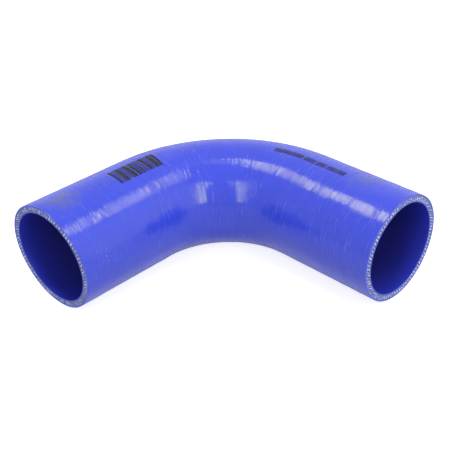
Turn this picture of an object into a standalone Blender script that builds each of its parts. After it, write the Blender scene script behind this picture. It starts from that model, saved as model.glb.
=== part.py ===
"""Ninety-degree silicone elbow hose for a coolant or charge-air line, lying on its side.

Metres, +Z up. The bend lies flat: leg B runs along +X and leg A along -Y. The origin is on
the surface that the hose lies on, under the middle of its bounding box.

The hose is one moulded and bonded piece. Its wall is a laminate: a silicone liner, plies of
woven fabric and a silicone cover, which show as rings where the ends were cut.
"""

import math

import bmesh
import bpy
from mathutils import Matrix, Vector

OBJECT_NAME = "silicone_elbow_hose"
HOSE_NAME = "elbow_hose"

# The wall, from the bore outwards
BORE_DIAMETER = 0.060
LINER_THICKNESS = 0.0009
PLY_THICKNESS = 0.00095
PLY_COUNT = 3
COVER_THICKNESS = 0.00125

# The run of the hose, on its centreline
BEND_RADIUS = 0.075
BEND_ANGLE = math.radians(90)
LEG_A_STRAIGHT = 0.075
LEG_B_STRAIGHT = 0.075

# The cuts. Leg B is cut square. Leg A is cut a little long at its top and on its outer side
LEG_A_CUT_LEAN_UP = math.radians(2.4)
LEG_A_CUT_LEAN_OUT = math.radians(2.1)
CUT_EDGE_EASING = 0.0002

# How finely round stretches are divided
SIDES_AROUND = 64
BEND_STEPS = 24
EASING_SEGMENTS = 2
CUT_EDGE_LEAST_ANGLE = math.radians(60)

# Finishes: colour, roughness
SILICONE_FINISH = ((0.075, 0.115, 0.76), 0.38)
FABRIC_FINISH = ((0.30, 0.31, 0.42), 0.85)

UP = Vector((0, 0, 1))


def clear_scene():
    for obj in list(bpy.data.objects):
        bpy.data.objects.remove(obj, do_unlink=True)


def plain_material(name, finish):
    colour, roughness = finish
    material = bpy.data.materials.new(name)
    material.use_nodes = True
    surface = material.node_tree.nodes["Principled BSDF"]
    surface.inputs["Base Color"].default_value = (*colour, 1)
    surface.inputs["Roughness"].default_value = roughness
    surface.inputs["Metallic"].default_value = 0
    return material


def wall_layers():
    """The wall's layers from the bore outwards, each as its thickness and whether it is fabric."""
    liner = [(LINER_THICKNESS, False)]
    plies = [(PLY_THICKNESS, True)] * PLY_COUNT
    cover = [(COVER_THICKNESS, False)]
    return liner + plies + cover


def each_once(items):
    """The items in their own order, without repeats."""
    return list(dict.fromkeys(items))


def kind_in(geometry, kind):
    return [item for item in geometry if isinstance(item, kind)]


def add_cut_section(bm, centre, towards):
    """The wall's rings, flat across the hose at centre. Returns their faces."""
    radius = BORE_DIAMETER / 2
    circle = bmesh.ops.create_circle(bm, segments=SIDES_AROUND, radius=radius)["verts"]
    ring = each_once(edge for vert in circle for edge in vert.link_edges)
    section = []
    for thickness, is_fabric in wall_layers():
        layer = bmesh.ops.extrude_edge_only(bm, edges=ring)["geom"]
        growth = 1 + thickness / radius
        bmesh.ops.scale(bm, verts=kind_in(layer, bmesh.types.BMVert), vec=[growth] * 3)
        for face in kind_in(layer, bmesh.types.BMFace):
            face.material_index = int(is_fabric)
            section.append(face)
        ring = kind_in(layer, bmesh.types.BMEdge)
        radius += thickness

    place = Matrix.Translation(centre) @ UP.rotation_difference(towards).to_matrix().to_4x4()
    bmesh.ops.transform(bm, matrix=place, verts=bm.verts)
    return section


def points_of(faces):
    return each_once(vert for face in faces for vert in face.verts)


def with_edges(faces):
    """The faces and their edges: a sweep that is given both leaves no wall across the hose."""
    return faces + each_once(edge for face in faces for edge in face.edges)


def run_straight(bm, section, travel):
    """Pushes the section along a straight leg and returns its faces at the far end."""
    made = bmesh.ops.extrude_face_region(bm, geom=with_edges(section))
    end = kind_in(made["geom"], bmesh.types.BMFace)
    bmesh.ops.translate(bm, verts=points_of(end), vec=travel)
    return end


def run_round_bend(bm, section):
    """Turns the section round the bend's centre, which is the mesh's origin."""
    made = bmesh.ops.spin(
        bm,
        geom=with_edges(section),
        cent=(0, 0, 0),
        axis=UP,
        angle=BEND_ANGLE,
        steps=BEND_STEPS,
    )
    return kind_in(made["geom_last"], bmesh.types.BMFace)


def lean_cut(section, centre, along, outwards):
    """Slides the end section's points along the leg, so that the flat cut leans."""
    for vert in points_of(section):
        height = (vert.co - centre).dot(UP)
        offset = (vert.co - centre).dot(outwards)
        slope = height * math.tan(LEG_A_CUT_LEAN_UP) + offset * math.tan(LEG_A_CUT_LEAN_OUT)
        vert.co += slope * along


def hose_mesh():
    """The whole wall, swept from leg B's cut, round the bend and down leg A."""
    bm = bmesh.new()
    into_bend = Vector((-1, 0, 0))
    leg_b_end = Vector((LEG_B_STRAIGHT, BEND_RADIUS, 0))
    section = add_cut_section(bm, leg_b_end, into_bend)
    section = run_straight(bm, section, into_bend * LEG_B_STRAIGHT)
    section = run_round_bend(bm, section)

    turn = Matrix.Rotation(BEND_ANGLE, 3, UP)
    out_of_bend = turn @ into_bend
    outwards = turn @ Vector((0, 1, 0))
    leg_a_end = outwards * BEND_RADIUS + out_of_bend * LEG_A_STRAIGHT
    section = run_straight(bm, section, out_of_bend * LEG_A_STRAIGHT)
    lean_cut(section, leg_a_end, out_of_bend, outwards)

    bmesh.ops.recalc_face_normals(bm, faces=bm.faces)
    mesh = bpy.data.meshes.new(HOSE_NAME)
    bm.to_mesh(mesh)
    bm.free()
    return mesh


def bottom_centre(mesh):
    """The point under the middle of the mesh's bounding box, level with its lowest point."""
    columns = list(zip(*(vert.co for vert in mesh.vertices)))
    middle_x, middle_y = ((min(column) + max(column)) / 2 for column in columns[:2])
    return Vector((middle_x, middle_y, min(columns[2])))


def ease_cut_edges(hose):
    """The knife's edges are rubbed down a little, inside and out."""
    easing = hose.modifiers.new("eased_cut_edges", "BEVEL")
    easing.limit_method = "ANGLE"
    easing.angle_limit = CUT_EDGE_LEAST_ANGLE
    easing.width = CUT_EDGE_EASING
    easing.segments = EASING_SEGMENTS


def make_hose(collection):
    mesh = hose_mesh()
    mesh.materials.append(plain_material("blue_silicone", SILICONE_FINISH))
    mesh.materials.append(plain_material("ply_fabric", FABRIC_FINISH))
    mesh.shade_smooth()
    mesh.set_sharp_from_angle(angle=CUT_EDGE_LEAST_ANGLE)
    hose = bpy.data.objects.new(HOSE_NAME, mesh)
    hose.location = -bottom_centre(mesh)
    collection.objects.link(hose)
    ease_cut_edges(hose)
    return hose


def main():
    clear_scene()
    collection = bpy.data.collections.new(OBJECT_NAME)
    bpy.context.scene.collection.children.link(collection)
    make_hose(collection)


main()
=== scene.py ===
"""Blue silicone elbow hose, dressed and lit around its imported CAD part.

Metres, in the frame's own axes. Every piece is first laid out along a straight hose: x runs
along the centreline from leg A's cut to leg B's, y points to the outer side of the bend and
z points up. A Geometry Nodes tree then turns that straight hose round the elbow.
"""

import math
import random

import bmesh
import bpy
from mathutils import Matrix, Vector


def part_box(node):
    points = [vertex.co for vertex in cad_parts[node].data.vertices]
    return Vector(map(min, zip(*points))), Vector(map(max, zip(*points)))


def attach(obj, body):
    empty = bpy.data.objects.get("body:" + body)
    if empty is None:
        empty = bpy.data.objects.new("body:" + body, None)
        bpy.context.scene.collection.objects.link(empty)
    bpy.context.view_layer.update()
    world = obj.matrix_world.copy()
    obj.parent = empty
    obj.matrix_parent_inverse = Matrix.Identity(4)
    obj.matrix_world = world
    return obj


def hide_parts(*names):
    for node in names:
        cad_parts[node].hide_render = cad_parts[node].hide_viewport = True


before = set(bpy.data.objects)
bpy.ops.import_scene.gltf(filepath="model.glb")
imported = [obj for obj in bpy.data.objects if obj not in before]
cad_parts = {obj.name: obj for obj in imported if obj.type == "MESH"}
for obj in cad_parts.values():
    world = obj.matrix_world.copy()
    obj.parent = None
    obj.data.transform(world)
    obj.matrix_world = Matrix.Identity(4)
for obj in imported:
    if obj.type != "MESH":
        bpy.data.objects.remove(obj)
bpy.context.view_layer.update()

HOSE = "elbow_hose"
LOW, HIGH = (Vector(corner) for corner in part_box(HOSE))

# The wall, as in the CAD
OUTER_RADIUS = (HIGH.z - LOW.z) / 2
LINER_THICKNESS = 0.0009
PLY_THICKNESS = 0.00095
PLY_COUNT = 3
COVER_THICKNESS = 0.00125
FABRIC_OUTSIDE = OUTER_RADIUS - COVER_THICKNESS
FABRIC_INSIDE = FABRIC_OUTSIDE - PLY_COUNT * PLY_THICKNESS
BORE_RADIUS = FABRIC_INSIDE - LINER_THICKNESS

# The run of the hose
LEG_STRAIGHT = 0.075
BEND_RADIUS = 0.075
BEND_LENGTH = BEND_RADIUS * math.pi / 2
RUN_LENGTH = 2 * LEG_STRAIGHT + BEND_LENGTH
BEND_CENTRE = (
    HIGH.x - LEG_STRAIGHT,
    HIGH.y - OUTER_RADIUS - BEND_RADIUS,
    LOW.z + OUTER_RADIUS,
)
CUT_LEAN_UP = math.tan(math.radians(2.4))
CUT_LEAN_OUT = math.tan(math.radians(2.1))
CUT_LEAN_REACH = 0.025

# How finely the wall is drawn
SIDES_AROUND = 96
COVER_STEP = 0.00034
BORE_STEP = 0.004
EASING = 0.0002
EASING_STEPS = 3
SEAM_GAP = 0.000001

# The fabric lies a little deeper than the silicone on a cut, and its edges slope
FABRIC_SINK = 0.00020
FABRIC_EDGE = FABRIC_SINK / 3

# Patterns on the straight hose, each as its grain (how long its spots are along the hose, and
# how wide across it on both axes, in metres) and its detail
PATTERNS = {
    "waves": ((0.013, 0.016, 1.0), 1.0),
    "wrinkles": ((0.0011, 0.022, 0.022), 0.0),
    "clouds": ((0.03, 0.02, 0.02), 3.0),
    "lines": ((0.0013, 0.009, 0.009), 1.0),
    "mottle": ((0.0011, 0.0011, 0.0011), 1.0),
    "scratches": ((0.0008, 0.009, 0.009), 1.0),
    "rubbed": ((0.024, 0.016, 0.016), 1.0),
    "specks": ((0.0008, 0.0008, 0.0008), 1.0),
    "patches": ((0.005, 0.007, 0.007), 2.0),
    "teeth": ((0.0007, 0.022, 0.022), 0.0),
    "pores": ((0.0005, 0.0007, 0.0007), 2.0),
    "liner_clouds": ((0.02, 0.012, 0.012), 3.0),
    "drawn_lines": ((0.02, 0.0008, 0.0008), 2.0),
    "rubber_grain": ((0.0006, 0.0006, 0.0006), 2.0),
    "fabric_grain": ((0.0004, 0.0004, 0.0004), 2.0),
    "fibres": ((0.0001, 0.0001, 0.0001), 1.0),
    "worn_ink": ((0.0009, 0.003, 0.003), 3.0),
}

# Where a pattern's spots start, and where they are full
SPOT_RANGES = {
    "lines": (0.46, 0.60),
    "scratches": (0.56, 0.76),
    "rubbed": (0.35, 0.60),
    "specks": (0.58, 0.68),
    "patches": (0.20, 0.60),
    "worn_ink": (0.50, 0.75),
}


def feed(tree, node, values):
    """Gives a node's inputs, by name or by place, a value each or another node's output."""
    for key, value in values.items():
        socket = node.inputs[key]
        if isinstance(value, bpy.types.NodeSocket):
            tree.links.new(value, socket)
        else:
            socket.default_value = value
    return node


def add(tree, kind, values=None, **settings):
    node = tree.nodes.new(kind)
    for name, value in settings.items():
        setattr(node, name, value)
    return feed(tree, node, values or {})


def calc(tree, operation, *values, clamp=False):
    node = add(tree, "ShaderNodeMath", operation=operation, use_clamp=clamp)
    return feed(tree, node, dict(enumerate(values))).outputs[0]


def vector_calc(tree, operation, *values):
    node = add(tree, "ShaderNodeVectorMath", operation=operation)
    return feed(tree, node, dict(enumerate(values))).outputs[0]


def joined(tree, x, y, z):
    return add(tree, "ShaderNodeCombineXYZ", {0: x, 1: y, 2: z}).outputs[0]


def split(tree, vector):
    return add(tree, "ShaderNodeSeparateXYZ", {0: vector}).outputs


def ramp(tree, value, low, high, to_low=0.0, to_high=1.0):
    values = {0: value, 1: low, 2: high, 3: to_low, 4: to_high}
    return add(tree, "ShaderNodeMapRange", values, clamp=True).outputs[0]


def pattern(tree, place, name):
    """One of the patterns, as noise from 0 to 1."""
    grain, detail = PATTERNS[name]
    spread = vector_calc(tree, "DIVIDE", place, grain)
    values = {"Vector": spread, "Scale": 1.0, "Detail": detail, "Roughness": 0.5}
    return add(tree, "ShaderNodeTexNoise", values, noise_dimensions="3D").outputs[0]


def spots(tree, place, name):
    """One of the patterns with its spots brought out: 1 in a spot, 0 between them."""
    return ramp(tree, pattern(tree, place, name), *SPOT_RANGES[name])


SIZE_INPUTS = {
    "Outer Radius": OUTER_RADIUS,
    "Leg Straight": LEG_STRAIGHT,
    "Bend Radius": BEND_RADIUS,
    "Bend Centre": BEND_CENTRE,
    "Cut Lean Up": CUT_LEAN_UP,
    "Cut Lean Out": CUT_LEAN_OUT,
    "Cut Lean Reach": CUT_LEAN_REACH,
    "Tape Pitch": 0.0115,
    "Tape Edge": 0.00003,
    "Tape Waves": 0.00028,
    "Tape Wrinkles": 0.00016,
}
SOCKET_KINDS = {int: "NodeSocketInt", float: "NodeSocketFloat", tuple: "NodeSocketVector"}

# The wrapping tape: how far it goes in a turn, and how steep a lap's back edge is to its front
TAPE_TURN_LENGTH = 2 * math.pi * OUTER_RADIUS
LAP_STEEPNESS = 16.0

# How hard the tape wrinkled the cover, and over which stretches that changes
WRINKLED_ON_LEG_A = 1.15
WRINKLED_IN_BEND = 0.6
WRINKLED_ON_LEG_B = 1.2
WRINKLED_LOW_DOWN = 0.3
LEG_A_TO_BEND = (0.090, 0.110)
BEND_TO_LEG_B = (0.150, 0.165)
LOW_DOWN_TO_TOP = (0.019, 0.027)


def new_tree(name, sizes):
    """A Geometry Nodes tree with a named input for each size. Returns it and its inputs."""
    tree = bpy.data.node_groups.new(name, "GeometryNodeTree")
    tree.interface.new_socket("Geometry", in_out="OUTPUT", socket_type="NodeSocketGeometry")
    tree.interface.new_socket("Geometry", in_out="INPUT", socket_type="NodeSocketGeometry")
    for label, size in sizes.items():
        kind = SOCKET_KINDS[type(size)]
        tree.interface.new_socket(label, in_out="INPUT", socket_type=kind)
    return tree, add(tree, "NodeGroupInput").outputs


def grow(name, layout, tree, sizes):
    """Runs a tree on a layout mesh and returns the plain mesh object that it makes."""
    draft = bpy.data.objects.new(name + "_layout", layout)
    bpy.context.scene.collection.objects.link(draft)
    modifier = draft.modifiers.new("grow", "NODES")
    modifier.node_group = tree
    for item in tree.interface.items_tree:
        if item.in_out == "INPUT" and item.name in sizes:
            modifier[item.identifier] = sizes[item.name]
    bpy.context.view_layer.update()
    graph = bpy.context.evaluated_depsgraph_get()
    mesh = bpy.data.meshes.new_from_object(draft.evaluated_get(graph))
    draft.modifiers.remove(modifier)
    bpy.data.objects.remove(draft)
    mesh.name = name
    while None in list(mesh.materials):
        mesh.materials.pop(index=list(mesh.materials).index(None))
    piece = bpy.data.objects.new(name, mesh)
    bpy.context.scene.collection.objects.link(piece)
    return piece


def wrinkling(tree, place):
    """How hard the tape wrinkled the cover: most on top, and less in the middle of the bend."""
    along, _, up = split(tree, place)
    leg_a = ramp(tree, along, *LEG_A_TO_BEND, WRINKLED_ON_LEG_A, WRINKLED_IN_BEND)
    leg_b = ramp(tree, along, *BEND_TO_LEG_B, WRINKLED_IN_BEND, WRINKLED_ON_LEG_B)
    lengthways = calc(tree, "MAXIMUM", leg_a, leg_b)
    upwards = ramp(tree, up, *LOW_DOWN_TO_TOP, WRINKLED_LOW_DOWN, 1.0)
    return calc(tree, "MULTIPLY", lengthways, upwards)


def tape_relief(tree, place, size):
    """How far the cover stands out where the wrapping tape pressed it: laps, waves, wrinkles."""
    along, out, up = split(tree, place)
    turn = calc(tree, "DIVIDE", calc(tree, "ARCTAN2", up, out), 2 * math.pi)
    laps = calc(tree, "ADD", calc(tree, "DIVIDE", along, size["Tape Pitch"]), turn)
    lap = calc(tree, "FRACT", laps)
    back = calc(tree, "MULTIPLY", calc(tree, "SUBTRACT", 1.0, lap), LAP_STEEPNESS)
    edge = calc(tree, "MINIMUM", lap, back)
    edge = calc(tree, "MULTIPLY", calc(tree, "SUBTRACT", edge, 0.5), size["Tape Edge"])

    on_tape = calc(tree, "SUBTRACT", turn, calc(tree, "FLOOR", laps))
    on_tape = joined(
        tree,
        calc(tree, "MULTIPLY", on_tape, TAPE_TURN_LENGTH),
        calc(tree, "MULTIPLY", lap, size["Tape Pitch"]),
        0.0,
    )
    waves = calc(tree, "SUBTRACT", pattern(tree, on_tape, "waves"), 0.5)
    waves = calc(tree, "MULTIPLY", waves, size["Tape Waves"])

    wrinkles = calc(tree, "SUBTRACT", pattern(tree, place, "wrinkles"), 0.5)
    wrinkles = calc(tree, "MULTIPLY", wrinkles, size["Tape Wrinkles"])
    wrinkles = calc(tree, "MULTIPLY", wrinkles, wrinkling(tree, place))
    return calc(tree, "ADD", calc(tree, "ADD", edge, waves), wrinkles)


def lean_cut(tree, place, size):
    """Slides what is near leg A's cut along the hose, so that the cut leans."""
    along, out, up = split(tree, place)
    slope = calc(tree, "MULTIPLY", up, size["Cut Lean Up"])
    slope = calc(tree, "MULTIPLY_ADD", out, size["Cut Lean Out"], slope)
    fade = calc(tree, "DIVIDE", along, size["Cut Lean Reach"])
    fade = calc(tree, "SUBTRACT", 1.0, fade, clamp=True)
    along = calc(tree, "SUBTRACT", along, calc(tree, "MULTIPLY", slope, fade))
    return joined(tree, along, out, up)


def round_elbow(tree, place, size):
    """Turns the straight hose round the elbow: leg A, the bend, then leg B."""
    along, out, up = split(tree, place)
    past = calc(tree, "SUBTRACT", along, size["Leg Straight"])
    angle = calc(tree, "DIVIDE", past, size["Bend Radius"])
    angle = calc(tree, "MINIMUM", calc(tree, "MAXIMUM", angle, 0.0), math.pi / 2)
    over = calc(tree, "MULTIPLY", angle, size["Bend Radius"])
    over = calc(tree, "SUBTRACT", past, over)
    sine = calc(tree, "SINE", angle)
    cosine = calc(tree, "COSINE", angle)
    reach = calc(tree, "ADD", size["Bend Radius"], out)
    x = calc(tree, "MULTIPLY", over, sine)
    x = calc(tree, "SUBTRACT", x, calc(tree, "MULTIPLY", reach, cosine))
    y = calc(tree, "MULTIPLY", over, cosine)
    y = calc(tree, "MULTIPLY_ADD", reach, sine, y)
    return vector_calc(tree, "ADD", joined(tree, x, y, up), size["Bend Centre"])


def place_of(tree):
    return add(tree, "GeometryNodeInputPosition").outputs[0]


def moved(tree, geometry, place):
    values = {"Geometry": geometry, "Position": place}
    return add(tree, "GeometryNodeSetPosition", values).outputs[0]


def named(tree, name, kind="INT"):
    """Reads what is stored on the geometry under a name."""
    node = add(tree, "GeometryNodeInputNamedAttribute", {"Name": name}, data_type=kind)
    return node.outputs[0]


def keep(tree, geometry, name, value, kind="FLOAT", domain="POINT"):
    """Stores a value on the geometry under a name."""
    values = {"Geometry": geometry, "Name": name, "Value": value}
    node = add(
        tree, "GeometryNodeStoreNamedAttribute", values, data_type=kind, domain=domain
    )
    return node.outputs[0]


def bend_and_finish(tree, geometry, size, materials, smooth=True):
    """Keeps each point's place on the straight hose as "lay", bends, and sets the materials."""
    geometry = add(tree, "GeometryNodeRealizeInstances", {0: geometry}).outputs[0]
    geometry = keep(tree, geometry, "lay", place_of(tree), "FLOAT_VECTOR")
    geometry = moved(tree, geometry, lean_cut(tree, place_of(tree), size))
    geometry = moved(tree, geometry, round_elbow(tree, place_of(tree), size))
    values = {"Geometry": geometry, "Shade Smooth": smooth}
    geometry = add(tree, "GeometryNodeSetShadeSmooth", values).outputs[0]
    geometry = add(tree, "GeometryNodeRealizeInstances", {0: geometry}).outputs[0]
    for number, material in enumerate(materials):
        values = {"Geometry": geometry, "Material": material}
        if number:
            sides = {2: named(tree, "layer"), 3: number}
            same = add(tree, "FunctionNodeCompare", sides, data_type="INT", operation="EQUAL")
            values["Selection"] = same.outputs[0]
        geometry = add(tree, "GeometryNodeSetMaterial", values).outputs[0]
    add(tree, "NodeGroupOutput", {0: geometry})


COVER_LAYER, FABRIC_LAYER, LINER_LAYER, CUT_LAYER = range(4)


def stretch(first, last, step):
    """Points from first to last, the last one left out, about a step apart."""
    count = max(1, math.ceil(abs(last - first) / step))
    return [first + (last - first) * number / count for number in range(count)]


def eased_corner(along, radius, inwards, side):
    """A quarter round from the wall's surface to the cut face. side is 1 in the bore, else -1."""
    points = []
    for number in range(EASING_STEPS + 1):
        angle = math.pi / 2 * number / EASING_STEPS
        s = along + inwards * EASING * (1 - math.sin(angle))
        r = radius + side * EASING * (1 - math.cos(angle))
        points.append((s, r))
    return points


def cut_face(along, inwards):
    """The section of one cut, from the cover's surface to the bore's, as points (s, r)."""
    sunk = along + inwards * FABRIC_SINK
    band = [(along, FABRIC_OUTSIDE), (sunk, FABRIC_OUTSIDE - FABRIC_EDGE)]
    for half_ply in range(1, 2 * PLY_COUNT):
        band.append((sunk, FABRIC_OUTSIDE - half_ply * PLY_THICKNESS / 2))
    band += [(sunk, FABRIC_INSIDE + FABRIC_EDGE), (along, FABRIC_INSIDE)]
    rim = eased_corner(along, OUTER_RADIUS, inwards, -1)
    lip = eased_corner(along, BORE_RADIUS, inwards, 1)
    return rim + band + lip[::-1]


def wall_section():
    """The wall's closed section as points (s, r), and the layer of the strip after each."""
    start, end = EASING, RUN_LENGTH - EASING
    cover = [(s, OUTER_RADIUS) for s in stretch(start, end, COVER_STEP)[1:]]
    bore = [(s, BORE_RADIUS) for s in stretch(end, start, BORE_STEP)[1:]]
    points = cover + cut_face(RUN_LENGTH, -1) + bore + cut_face(0.0, 1)[::-1]
    layers = []
    for (s_first, r_first), (s_second, r_second) in zip(points, points[1:] + points[:1]):
        radius = (r_first + r_second) / 2
        if FABRIC_INSIDE < radius < FABRIC_OUTSIDE:
            layers.append(FABRIC_LAYER)
        elif s_first == s_second:
            layers.append(CUT_LAYER)
        else:
            layers.append(COVER_LAYER if radius > FABRIC_OUTSIDE else LINER_LAYER)
    return points, layers


def section_mesh():
    """The wall's section as loose points, each with the layer of the strip after it."""
    points, layers = wall_section()
    mesh = bpy.data.meshes.new("wall_section")
    mesh.from_pydata([(s, 0, r) for s, r in points], [], [])
    layer = mesh.attributes.new("layer", "INT", "POINT")
    layer.data.foreach_set("value", layers)
    return mesh


def build_wall(materials):
    """The section spun into a straight hose, pressed by the tape, and turned round the elbow."""
    section = section_mesh()
    count = len(section.vertices)
    sizes = {"Sides Around": SIDES_AROUND, "Section Points": count, **SIZE_INPUTS}
    tree, size = new_tree("hose_wall_tree", sizes)
    around = calc(tree, "ADD", size["Sides Around"], 1)
    grid = add(
        tree,
        "GeometryNodeMeshGrid",
        {"Vertices X": calc(tree, "ADD", size["Section Points"], 1), "Vertices Y": around},
    ).outputs[0]

    index = add(tree, "GeometryNodeInputIndex").outputs[0]

    def sampled(kind, value, row):
        row = calc(tree, "MODULO", calc(tree, "FLOOR", row), size["Section Points"])
        node = add(tree, "GeometryNodeSampleIndex", data_type=kind, domain="POINT")
        tree.links.new(size["Geometry"], node.inputs["Geometry"])
        return feed(tree, node, {"Value": value, "Index": row}).outputs[0]

    faces_row = calc(tree, "DIVIDE", index, size["Sides Around"])
    layer = sampled("INT", named(tree, "layer"), faces_row)
    grid = keep(tree, grid, "layer", layer, "INT", "FACE")

    row = calc(tree, "DIVIDE", index, around)
    turn = calc(tree, "DIVIDE", calc(tree, "MODULO", index, around), size["Sides Around"])
    angle = calc(tree, "MULTIPLY", turn, -2 * math.pi)
    along, _, radius = split(tree, sampled("FLOAT_VECTOR", place_of(tree), row))
    out = calc(tree, "MULTIPLY", radius, calc(tree, "COSINE", angle))
    up = calc(tree, "MULTIPLY", radius, calc(tree, "SINE", angle))
    tube = moved(tree, grid, joined(tree, along, out, up))
    values = {"Geometry": tube, "Distance": SEAM_GAP}
    tube = add(tree, "GeometryNodeMergeByDistance", values).outputs[0]

    place = place_of(tree)
    along, out, up = split(tree, place)
    squares = calc(tree, "MULTIPLY_ADD", out, out, calc(tree, "MULTIPLY", up, up))
    radius = calc(tree, "SQRT", squares)
    depth = calc(tree, "SUBTRACT", size["Outer Radius"], radius)
    outside = ramp(tree, depth, 0.0, EASING, 1.0, 0.0)
    lift = calc(tree, "MULTIPLY", tape_relief(tree, place, size), outside)
    scale = calc(tree, "DIVIDE", calc(tree, "ADD", radius, lift), radius)
    pressed = joined(
        tree, along, calc(tree, "MULTIPLY", out, scale), calc(tree, "MULTIPLY", up, scale)
    )
    tube = moved(tree, tube, pressed)
    bend_and_finish(tree, tube, size, materials)
    return grow("hose_wall", section, tree, sizes)


# The yarns' ends are egg-shaped, and the threads that cross them are thin tubes
YARN_PITCH = 0.0023
YARN_SIZES = {
    "Thread Radius": 0.00011,
    "Yarn End Depth": 0.00020,
    "Yarn End Width": 0.00036,
    "Yarn End Length": 0.00068,
    "Yarn End Slant": 0.55,
}
YARN_END_SEGMENTS = 8
YARN_END_RINGS = 5
THREAD_SIDES = 5

# How the plies lie: each is turned on by a share of the pitch, its threads swing across it,
# and all of it lies at a share of the sunk fabric's depth
PLY_SHIFT = 0.30
WEAVE_SWING = 0.00030
WAVE_POINTS = 5
YARN_LEVEL = 0.8

# How far chance moves and changes the yarns. A turn is a share of the pitch
LAYOUT_SEED = 11
THREAD_STRAY = 0.00005
YARN_END_STRAY = 0.00008
YARN_TURN_STRAY = 0.12
SLANT_RANGE = (0.6, 1.4)
SLANT_SEED = 3
SWELL_RANGE = (0.7, 1.2)
SWELL_SEED = 5
SHADE_SEED = 8
THREAD_SHADE = 0.75


def on_ring(along, radius, angle):
    return along, radius * math.cos(angle), radius * math.sin(angle)


def yarn_layout():
    """The woven plies on both cuts: a loop for each crossing thread, a point for a cut yarn."""
    chance = random.Random(LAYOUT_SEED)
    points, edges, cut_yarns = [], [], []
    for along, inwards in ((0.0, 1), (RUN_LENGTH, -1)):
        level = along + inwards * FABRIC_SINK * YARN_LEVEL
        for ply in range(PLY_COUNT):
            radius = FABRIC_OUTSIDE - (ply + 0.5) * PLY_THICKNESS
            count = 2 * round(math.pi * radius / YARN_PITCH)
            first = len(points)
            steps = count * WAVE_POINTS
            for step in range(steps):
                swing = WEAVE_SWING * math.cos(math.pi * step / WAVE_POINTS)
                swing += chance.uniform(-THREAD_STRAY, THREAD_STRAY)
                angle = 2 * math.pi * step / steps
                points.append(on_ring(level, radius + swing, angle))
                edges.append((first + step, first + (step + 1) % steps))
                cut_yarns.append(0)
            for yarn in range(count):
                turn = yarn + ply * PLY_SHIFT
                turn += chance.uniform(-YARN_TURN_STRAY, YARN_TURN_STRAY)
                shift = chance.uniform(-YARN_END_STRAY, YARN_END_STRAY)
                points.append(on_ring(level, radius + shift, 2 * math.pi * turn / count))
                cut_yarns.append(1)
    mesh = bpy.data.meshes.new("yarn_layout")
    mesh.from_pydata(points, edges, [])
    mesh.attributes.new("cut_yarn", "INT", "POINT").data.foreach_set("value", cut_yarns)
    return mesh


def random_value(tree, low, high, seed):
    values = {"Seed": seed, 2: low, 3: high}
    return add(tree, "FunctionNodeRandomValue", values, data_type="FLOAT").outputs[1]


def build_yarns(material):
    """The yarns that show on the cuts: threads that weave round, and yarns cut off aslant."""
    sizes = {**YARN_SIZES, **SIZE_INPUTS}
    tree, size = new_tree("cut_yarns_tree", sizes)
    loops = add(tree, "GeometryNodeMeshToCurve", {0: size["Geometry"]}).outputs[0]
    values = {"Resolution": THREAD_SIDES, "Radius": size["Thread Radius"]}
    thread = add(tree, "GeometryNodeCurvePrimitiveCircle", values).outputs[0]
    values = {"Curve": loops, "Profile Curve": thread}
    loops = add(tree, "GeometryNodeCurveToMesh", values).outputs[0]
    loops = keep(tree, loops, "shade", THREAD_SHADE)

    values = {"Segments": YARN_END_SEGMENTS, "Rings": YARN_END_RINGS, "Radius": 1.0}
    knob = add(tree, "GeometryNodeMeshUVSphere", values).outputs[0]
    _, out, up = split(tree, place_of(tree))
    slant = random_value(tree, *SLANT_RANGE, SLANT_SEED)
    slant = calc(tree, "MULTIPLY", slant, size["Yarn End Slant"])
    turn = calc(tree, "ADD", calc(tree, "ARCTAN2", up, out), slant)
    swell = random_value(tree, *SWELL_RANGE, SWELL_SEED)
    scale = joined(
        tree,
        size["Yarn End Depth"],
        calc(tree, "MULTIPLY", size["Yarn End Width"], swell),
        calc(tree, "MULTIPLY", size["Yarn End Length"], swell),
    )
    values = {
        "Points": size["Geometry"],
        "Selection": named(tree, "cut_yarn"),
        "Instance": knob,
        "Rotation": joined(tree, turn, 0.0, 0.0),
        "Scale": scale,
    }
    knobs = add(tree, "GeometryNodeInstanceOnPoints", values).outputs[0]
    shade = random_value(tree, 0.0, 1.0, SHADE_SEED)
    knobs = keep(tree, knobs, "shade", shade, domain="INSTANCE")
    both = add(tree, "GeometryNodeJoinGeometry")
    tree.links.new(knobs, both.inputs[0])
    tree.links.new(loops, both.inputs[0])
    bend_and_finish(tree, both.outputs[0], size, [material])
    return grow("cut_yarns", yarn_layout(), tree, sizes)


# How far the ink stands out of the cover, and how thick it is
INK_TOP = 0.00004
INK_DEPTH = 0.00012

# A mark is a thin bar, divided finely enough to follow the relief
BAR_DIVISIONS = {"Vertices X": 5, "Vertices Y": 16, "Vertices Z": 2}


def marks_mesh(name, marks):
    """Flat layout of the marks' middles: x along the hose, y round it from its outer side."""
    mesh = bpy.data.meshes.new(name)
    mesh.from_pydata([(along, around, 0) for along, around, _, _ in marks], [], [])
    for label, column in (("width", 2), ("length", 3)):
        attribute = mesh.attributes.new(label, "FLOAT", "POINT")
        attribute.data.foreach_set("value", [mark[column] for mark in marks])
    return mesh


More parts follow.
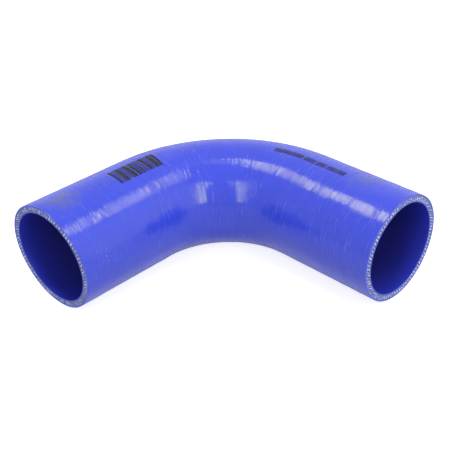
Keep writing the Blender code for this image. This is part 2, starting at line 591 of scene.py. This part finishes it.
def print_marks(name, marks, material):
    """Prints marks on the cover. Each follows the tape's relief, a little proud of it."""
    sizes = {"Ink Top": INK_TOP, "Ink Depth": INK_DEPTH, **SIZE_INPUTS}
    tree, size = new_tree(name + "_tree", sizes)
    stamp = add(tree, "GeometryNodeMeshCube", BAR_DIVISIONS).outputs[0]
    scale = joined(
        tree, named(tree, "width", "FLOAT"), named(tree, "length", "FLOAT"), size["Ink Depth"]
    )
    values = {"Points": size["Geometry"], "Instance": stamp, "Scale": scale}
    stamped = add(tree, "GeometryNodeInstanceOnPoints", values).outputs[0]
    stamped = add(tree, "GeometryNodeRealizeInstances", {0: stamped}).outputs[0]
    along, around, height = split(tree, place_of(tree))
    angle = calc(tree, "DIVIDE", around, size["Outer Radius"])
    cosine, sine = calc(tree, "COSINE", angle), calc(tree, "SINE", angle)
    foot = joined(
        tree,
        along,
        calc(tree, "MULTIPLY", size["Outer Radius"], cosine),
        calc(tree, "MULTIPLY", size["Outer Radius"], sine),
    )
    lift = calc(tree, "ADD", height, tape_relief(tree, foot, size))
    sink = calc(tree, "MULTIPLY_ADD", size["Ink Depth"], -0.5, size["Ink Top"])
    radius = calc(tree, "ADD", size["Outer Radius"], calc(tree, "ADD", lift, sink))
    place = joined(
        tree, along, calc(tree, "MULTIPLY", radius, cosine), calc(tree, "MULTIPLY", radius, sine)
    )
    stamped = moved(tree, stamped, place)
    bend_and_finish(tree, stamped, size, [material], smooth=False)
    return grow(name, marks_mesh(name, marks), tree, sizes)


# Plain stripes: widths and gaps that simply take turns, in metres
STRIPE_START = 0.0518
STRIPE_END = 0.0872
STRIPE_WIDTHS = (0.0016, 0.0007, 0.0009, 0.0026, 0.0007, 0.0008, 0.0032, 0.0021, 0.0009)
STRIPE_GAPS = (0.0005, 0.0008, 0.0004, 0.0005, 0.0006)
STRIPE_MIDDLE = 0.0578
STRIPE_LENGTH = 0.0148

# A line of plain ticks in four stretches, each as its start and end along the hose
TICKED_STRETCHES = ((0.1687, 0.1905), (0.1915, 0.2003), (0.2013, 0.2087), (0.2097, 0.2240))
TICK_PITCH = 0.0012
TICK_WIDTH = 0.0008
TICK_LENGTH = 0.0045
TICKS_MIDDLE = 0.0556


def stripes():
    """Stripes that run round the hose."""
    marks = []
    start = STRIPE_START
    number = 0
    while start < STRIPE_END:
        width = STRIPE_WIDTHS[number % len(STRIPE_WIDTHS)]
        marks.append((start + width / 2, STRIPE_MIDDLE, width, STRIPE_LENGTH))
        start += width + STRIPE_GAPS[number % len(STRIPE_GAPS)]
        number += 1
    return marks


def ticks():
    """A line of ticks, all alike and evenly spaced within each stretch."""
    marks = []
    for start, end in TICKED_STRETCHES:
        count = int((end - start) / TICK_PITCH)
        for number in range(count):
            along = start + (number + 0.5) * (end - start) / count
            marks.append((along, TICKS_MIDDLE, TICK_WIDTH, TICK_LENGTH))
    return marks


# Each material's roughness, and how strongly it reflects
FINISHES = {
    "cover_silicone": (0.2, 0.42),
    "bore_liner": (0.3, 0.35),
    "cut_silicone": (0.6, 0.35),
    "gap_fabric": (0.85, 0.2),
    "cut_yarn": (0.75, 0.3),
    "marking_ink": (0.5, 0.2),
    "studio_floor": (0.9, 0.1),
}

# How high a pattern's bumps stand
BUMP_HEIGHTS = {
    "teeth": 0.00015,
    "lines": 0.000006,
    "pores": 0.000005,
    "drawn_lines": 0.00001,
    "rubber_grain": 0.00004,
    "fabric_grain": 0.00008,
    "fibres": 0.00003,
    "worn_ink": 0.00001,
}

COVER_BLUE = (0.039, 0.068, 0.67)
COVER_DEEP_BLUE = (0.030, 0.054, 0.59)
COVER_PALE_BLUE = (0.16, 0.20, 0.78)
DUST_GREY = (0.20, 0.23, 0.52)
SMUDGE_GREY = (0.10, 0.125, 0.30)
SHEEN_TINT = (1.0, 1.0, 0.0)
CUT_BLUE = (0.11, 0.145, 0.72)
LINER_BLUE = (0.022, 0.032, 0.42)
# Painted shade: the liner's darker blue deep in the bore, where little light reaches
LINER_PAINTED_SHADE_BLUE = (0.022, 0.024, 0.23)
# The gaps' dark blue: partly the rubber's own colour, partly painted shade between the yarns
GAP_BLUE_WITH_PAINTED_SHADE = (0.042, 0.054, 0.19)
YARN_PALE = (0.66, 0.76, 0.97)
YARN_GREY = (0.23, 0.28, 0.54)
INK_DARK = (0.012, 0.012, 0.015)
INK_WORN = (0.030, 0.033, 0.050)

# The cover's shade: what each pattern adds, and the range over which deep blue turns to blue
CLOUD_SHADE = 0.6
LINE_SHADE = 0.08
MOTTLE_SHADE = 0.35
SHADE_RANGE = (0.25, 0.75)

# The cover's roughness: what it has all over, and what is added
SHINE_BASE = 0.09
SHINE_ON_LINES = 0.05
SHINE_ON_CLOUDS = 0.03
SHINE_AT_OUTLINE = 0.30
OUTLINE_RANGE = (0.55, 0.92)

# Scuffs are fainter on leg A than from the bend on
SCUFF_STRENGTH = 0.32
SCUFF_CHANGE = (0.05, 0.12)
SCUFF_BEFORE = 0.6
SCUFF_AFTER = 1.2

# Smudges, each as its place on the straight hose, its reach and its strength, and a dusty spot
SMUDGES = (((0.0150, -0.0010, 0.0350), 0.013, 0.7), ((0.2365, 0.0030, 0.0345), 0.015, 0.4))
DUSTY_PLACE = (0.0166, -0.0338, 0.0092)
DUSTY_REACH = 0.011
DUST_STRENGTH = 0.45

# A smudge or the dust is full within this share of its reach
FULL_SHARE = 0.25

# How far the liner's paler blue reaches in from a cut before it turns to the darker blue of
# painted shade deeper in the bore, and how cloudy its edge is
LINER_PAINTED_SHADE_REACH = 0.024
LINER_CLOUDINESS = 0.4

# A grain's other colour, as a share of its material's own
CUT_GRAIN_SHARE = 0.8
GAP_GRAIN_SHARE = 1.8

# Over this range of a yarn's shade, which chance gives it, it turns from pale to grey
STAINED_RANGE = (0.35, 0.85)


def new_material(name):
    """A material and its shader, with the values that are the same all over it."""
    material = bpy.data.materials.new(name)
    material.use_nodes = True
    shader = material.node_tree.nodes["Principled BSDF"]
    roughness, specular = FINISHES[name]
    shader.inputs["Roughness"].default_value = roughness
    shader.inputs["Specular IOR Level"].default_value = specular
    return material, material.node_tree, shader


def lay_of(tree):
    """Where a point lay on the straight hose, so that patterns follow it round the bend."""
    return add(tree, "ShaderNodeAttribute", attribute_name="lay").outputs["Vector"]


def blend(tree, factor, first, second):
    """Mixes two colours, or a colour and another node's output."""
    def opaque(colour):
        return colour if isinstance(colour, bpy.types.NodeSocket) else (*colour, 1)

    values = {0: factor, 6: opaque(first), 7: opaque(second)}
    return add(tree, "ShaderNodeMix", values, data_type="RGBA").outputs[2]


def raise_bumps(tree, shader, **patterns):
    """Chains a bump node for each pattern, as high as its name says."""
    normal = None
    for name, height in patterns.items():
        values = {"Height": height, "Distance": BUMP_HEIGHTS[name], "Strength": 1.0}
        if normal:
            values["Normal"] = normal
        normal = add(tree, "ShaderNodeBump", values).outputs[0]
    tree.links.new(normal, shader.inputs["Normal"])


def near(tree, lay, place, reach):
    """1 at a place on the straight hose, falling to 0 at its reach."""
    values = {0: lay, 1: place}
    gap = add(tree, "ShaderNodeVectorMath", values, operation="DISTANCE").outputs["Value"]
    return ramp(tree, gap, FULL_SHARE * reach, reach, 1.0, 0.0)


def glancing(tree):
    """0 where the surface faces the eye, rising to 1 at its outline."""
    facing = add(tree, "ShaderNodeLayerWeight", {"Blend": 0.5}).outputs["Facing"]
    return ramp(tree, facing, *OUTLINE_RANGE)


def shaded(colour, share):
    return tuple(value * share for value in colour)


def cover_silicone():
    """Glossy blue cover, with the tape's fine wrinkles, pale scuffs and a few dusty spots."""
    material, tree, shader = new_material("cover_silicone")
    shader.inputs["Specular Tint"].default_value = (*SHEEN_TINT, 1)
    lay = lay_of(tree)
    wrinkled = wrinkling(tree, lay)
    clouds = pattern(tree, lay, "clouds")
    lines = calc(tree, "MULTIPLY", spots(tree, lay, "lines"), wrinkled)
    shade = calc(tree, "MULTIPLY", clouds, CLOUD_SHADE)
    shade = calc(tree, "MULTIPLY_ADD", lines, LINE_SHADE, shade)
    shade = calc(tree, "MULTIPLY_ADD", pattern(tree, lay, "mottle"), MOTTLE_SHADE, shade)
    colour = blend(tree, ramp(tree, shade, *SHADE_RANGE), COVER_DEEP_BLUE, COVER_BLUE)

    scuffs = calc(tree, "MULTIPLY", spots(tree, lay, "scratches"), spots(tree, lay, "rubbed"))
    along = split(tree, lay)[0]
    rubbed = ramp(tree, along, *SCUFF_CHANGE, SCUFF_BEFORE, SCUFF_AFTER)
    scuffs = calc(tree, "MULTIPLY", scuffs, rubbed)
    scuffs = calc(tree, "MULTIPLY", scuffs, SCUFF_STRENGTH)
    colour = blend(tree, scuffs, colour, COVER_PALE_BLUE)

    dusty = near(tree, lay, DUSTY_PLACE, DUSTY_REACH)
    dust = calc(tree, "MULTIPLY", spots(tree, lay, "specks"), dusty)
    colour = blend(tree, calc(tree, "MULTIPLY", dust, DUST_STRENGTH), colour, DUST_GREY)
    patches = spots(tree, lay, "patches")
    for place, reach, strength in SMUDGES:
        smudge = calc(tree, "MULTIPLY", near(tree, lay, place, reach), patches)
        colour = blend(tree, calc(tree, "MULTIPLY", smudge, strength), colour, SMUDGE_GREY)
    tree.links.new(colour, shader.inputs["Base Color"])

    shine = calc(tree, "MULTIPLY_ADD", lines, SHINE_ON_LINES, SHINE_BASE)
    shine = calc(tree, "MULTIPLY_ADD", clouds, SHINE_ON_CLOUDS, shine)
    shine = calc(tree, "MULTIPLY_ADD", glancing(tree), SHINE_AT_OUTLINE, shine)
    tree.links.new(shine, shader.inputs["Roughness"])
    teeth = calc(tree, "MULTIPLY", pattern(tree, lay, "teeth"), wrinkled)
    raise_bumps(tree, shader, teeth=teeth, lines=lines, pores=pattern(tree, lay, "pores"))
    return material


def bore_liner():
    """Smooth dark blue liner, moulded against a steel mandrel. Deeper in from the cuts it turns
    darker blue, as painted shade.
    """
    material, tree, shader = new_material("bore_liner")
    lay = lay_of(tree)
    along = split(tree, lay)[0]
    from_cut = calc(tree, "MINIMUM", along, calc(tree, "SUBTRACT", RUN_LENGTH, along))
    inwards = calc(tree, "DIVIDE", from_cut, LINER_PAINTED_SHADE_REACH)
    clouds = pattern(tree, lay, "liner_clouds")
    # Painted shade: the liner turns to the darker blue deeper in from each cut
    deep = calc(tree, "MULTIPLY_ADD", clouds, LINER_CLOUDINESS, inwards)
    deep = calc(tree, "SUBTRACT", deep, LINER_CLOUDINESS / 2, clamp=True)
    tree.links.new(blend(tree, deep, LINER_BLUE, LINER_PAINTED_SHADE_BLUE), shader.inputs["Base Color"])
    raise_bumps(tree, shader, drawn_lines=pattern(tree, lay, "drawn_lines"))
    return material


def cut_silicone():
    """Matt blue rubber, where the knife went through the cover and the liner."""
    material, tree, shader = new_material("cut_silicone")
    grain = pattern(tree, lay_of(tree), "rubber_grain")
    deep = shaded(CUT_BLUE, CUT_GRAIN_SHARE)
    tree.links.new(blend(tree, grain, deep, CUT_BLUE), shader.inputs["Base Color"])
    raise_bumps(tree, shader, rubber_grain=grain)
    return material


def gap_fabric():
    """The dark, rubbery fabric between the yarns on a cut. Its dark blue is partly the rubber's
    own colour and partly painted shade between the yarns.
    """
    material, tree, shader = new_material("gap_fabric")
    grain = pattern(tree, lay_of(tree), "fabric_grain")
    paler = shaded(GAP_BLUE_WITH_PAINTED_SHADE, GAP_GRAIN_SHARE)
    # Partly painted shade: the gaps are darker than the rubber alone
    tree.links.new(blend(tree, grain, GAP_BLUE_WITH_PAINTED_SHADE, paler), shader.inputs["Base Color"])
    raise_bumps(tree, shader, fabric_grain=grain)
    return material


def cut_yarn():
    """Pale polyester yarn, some of it greyed where the knife smeared it with rubber."""
    material, tree, shader = new_material("cut_yarn")
    shade = add(tree, "ShaderNodeAttribute", attribute_name="shade").outputs["Fac"]
    stained = ramp(tree, shade, *STAINED_RANGE)
    tree.links.new(blend(tree, stained, YARN_PALE, YARN_GREY), shader.inputs["Base Color"])
    raise_bumps(tree, shader, fibres=pattern(tree, lay_of(tree), "fibres"))
    return material


def marking_ink():
    """Thin dark ink, worn through to the blue in places."""
    material, tree, shader = new_material("marking_ink")
    worn = spots(tree, lay_of(tree), "worn_ink")
    tree.links.new(blend(tree, worn, INK_DARK, INK_WORN), shader.inputs["Base Color"])
    raise_bumps(tree, shader, worn_ink=worn)
    return material


# The floor, a hair below the hose, and how brightly it and the room around it glow
FLOOR_RADIUS = 4.0
FLOOR_SIDES = 64
FLOOR_GAP = 0.0002
FLOOR_WHITE = 0.58
FLOOR_GLOW = 0.76
FLOOR_GLOW_REFLECTED = 0.45
ROOM_GREY = 0.38


def seen_directly(tree):
    """1 for rays from the camera, and for those reflected or passed on by the object."""
    rays = add(tree, "ShaderNodeLightPath").outputs
    seen = calc(tree, "ADD", rays["Is Camera Ray"], rays["Is Glossy Ray"])
    return calc(tree, "ADD", seen, rays["Is Transmission Ray"], clamp=True)


def build_floor():
    """A pale floor, which shows white and keeps the hose's shadow."""
    bm = bmesh.new()
    bmesh.ops.create_circle(bm, cap_ends=True, segments=FLOOR_SIDES, radius=FLOOR_RADIUS)
    mesh = bpy.data.meshes.new("studio_floor")
    bm.to_mesh(mesh)
    bm.free()
    mesh.transform(Matrix.Translation((0, 0, LOW.z - FLOOR_GAP)))
    floor = bpy.data.objects.new("studio_floor", mesh)
    bpy.context.scene.collection.objects.link(floor)
    material, tree, shader = new_material("studio_floor")
    shader.inputs["Base Color"].default_value = (*[FLOOR_WHITE] * 3, 1)
    shader.inputs["Emission Color"].default_value = (1, 1, 1, 1)
    in_view = add(tree, "ShaderNodeLightPath").outputs["Is Camera Ray"]
    strength = ramp(tree, in_view, 0.0, 1.0, FLOOR_GLOW_REFLECTED, FLOOR_GLOW)
    glow = calc(tree, "MULTIPLY", seen_directly(tree), strength)
    tree.links.new(glow, shader.inputs["Emission Strength"])
    mesh.materials.append(material)
    return floor


def light_room():
    """A room that looks white from the camera and in reflections, and lights the hose softly."""
    world = bpy.data.worlds.new("studio_room")
    bpy.context.scene.world = world
    world.use_nodes = True
    tree = world.node_tree
    background = tree.nodes["Background"]
    background.inputs["Color"].default_value = (1, 1, 1, 1)
    level = ramp(tree, seen_directly(tree), 0.0, 1.0, ROOM_GREY, 1.0)
    tree.links.new(level, background.inputs["Strength"])


# What the lamps face, the softboxes' tint, the right ones' turn in degrees, and a strip's size
HOSE_MIDDLE = (0.0, 0.0, 0.05)
WARM_PINK = (1.0, 0.955, 0.975)
RIGHT_SPIN = -2.0
STRIP_SIZE = (0.15, 0.74)


def softbox(name, place, size, brightness, shape="RECTANGLE", spin=0.0, tint=(1, 1, 1)):
    """A lamp that faces the hose, turned by spin about the way it faces.

    size is its width and height, and brightness how bright its face is.
    """
    width, height = size
    area = width * height * (math.pi / 4 if shape == "ELLIPSE" else 1)
    lamp = bpy.data.lights.new(name, "AREA")
    lamp.shape = shape
    lamp.size = width
    lamp.size_y = height
    lamp.energy = brightness * math.pi * area
    lamp.color = tint
    holder = bpy.data.objects.new(name, lamp)
    away = Vector(place) - Vector(HOSE_MIDDLE)
    facing = away.to_track_quat("Z", "Y").to_matrix().to_4x4()
    turned = facing @ Matrix.Rotation(math.radians(spin), 4, "Z")
    holder.matrix_world = Matrix.Translation(place) @ turned
    bpy.context.scene.collection.objects.link(holder)


# The camera, fitted to the hose's outline and cuts in the photo
CAMERA_PLACE = (0.32432, -0.31432, 0.32847)
CAMERA_RIGHT = (0.71015867, 0.70352422, -0.02698786)
CAMERA_UP = (-0.36372546, 0.39943696, 0.84151881)
CAMERA_BACK = (0.60280881, -0.5877957, 0.53955329)
CAMERA_LENS = 68.30
CAMERA_SENSOR = 36


def place_camera():
    camera = bpy.data.cameras.new("camera")
    camera.lens = CAMERA_LENS
    camera.sensor_width = CAMERA_SENSOR
    holder = bpy.data.objects.new("camera", camera)
    turn = Matrix((CAMERA_RIGHT, CAMERA_UP, CAMERA_BACK)).transposed()
    holder.matrix_world = Matrix.Translation(CAMERA_PLACE) @ turn.to_4x4()
    bpy.context.scene.collection.objects.link(holder)
    bpy.context.scene.camera = holder


def seen_from(azimuth, elevation, distance):
    """A place as far from the hose as given. Azimuth 0 is on leg A's side, 90 on leg B's."""
    turn, rise = math.radians(azimuth), math.radians(elevation)
    level = math.cos(rise)
    facing = Vector((math.sin(turn) * level, -math.cos(turn) * level, math.sin(rise)))
    return Vector(HOSE_MIDDLE) + facing * distance


def light_hose():
    """A softbox draws the highlight on each leg, and the other lamps brighten the sides."""
    softbox("left_softbox", (-0.465, -0.11, 1.065), (0.38, 0.39), 10.9, tint=WARM_PINK)
    oval = {"shape": "ELLIPSE", "spin": RIGHT_SPIN, "tint": WARM_PINK}
    softbox("right_softbox", (0.35, 0.61, 1.065), (0.70, 0.13), 10.4, **oval)
    softbox("right_halo", (0.35, 0.61, 1.07), (0.80, 0.27), 3.4, **oval)
    softbox("left_strip", seen_from(17.5, 29, 0.9), STRIP_SIZE, 6.7)
    softbox("right_strip", seen_from(79.0, 29, 0.9), STRIP_SIZE, 7.4)
    softbox("side_panel", seen_from(121.0, 18, 1.0), (1.4, 1.1), 0.66)
    softbox("overhead_panel", seen_from(-125, 80, 1.0), (0.35, 0.25), 1.2)


def dress(piece):
    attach(piece, "root")
    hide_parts(HOSE)


place_camera()
light_room()
light_hose()
build_floor()

wall_layers = [cover_silicone(), gap_fabric(), bore_liner(), cut_silicone()]
dress(build_wall(wall_layers))
dress(build_yarns(cut_yarn()))
ink = marking_ink()
dress(print_marks("printed_stripes", stripes(), ink))
dress(print_marks("printed_ticks", ticks(), ink))

bpy.context.scene.view_settings.view_transform = "Standard"
